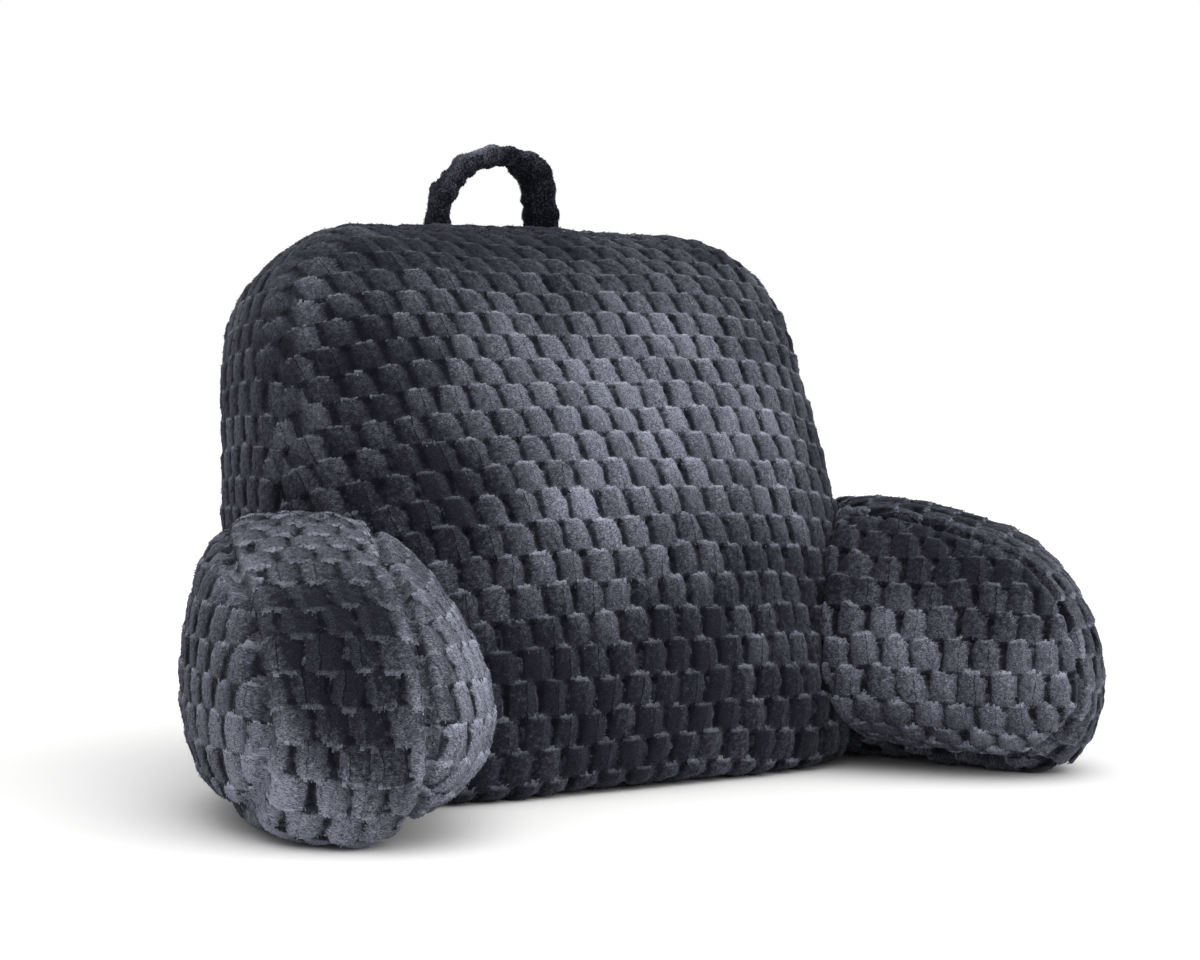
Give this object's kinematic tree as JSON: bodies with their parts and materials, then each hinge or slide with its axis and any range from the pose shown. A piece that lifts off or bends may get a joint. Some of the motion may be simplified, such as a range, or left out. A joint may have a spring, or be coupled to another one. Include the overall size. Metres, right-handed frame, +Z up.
{
  "type": "reading pillow with arms",
  "caption": "Wedge-shaped back cushion with an arm cushion sewn to each side and a carry strap on top, in sculpted dark plush, for sitting up in bed.",
  "frame": {"origin": "on the floor plane, under the middle of the whole pillow's bounding box", "axes": "+X across, towards arm_right (the sitter's left hand); -Y the way the sitter faces; +Z up"},
  "size_m": [0.7656, 0.5155, 0.5115],
  "materials": {
    "plush": "cut plush pile, sculpted in staggered cells, charcoal navy"
  },
  "bodies": {
    "root": {"back_cushion": "plush", "arm_left": "plush", "arm_right": "plush", "carry_strap": "plush"}
  },
  "joints": []
}
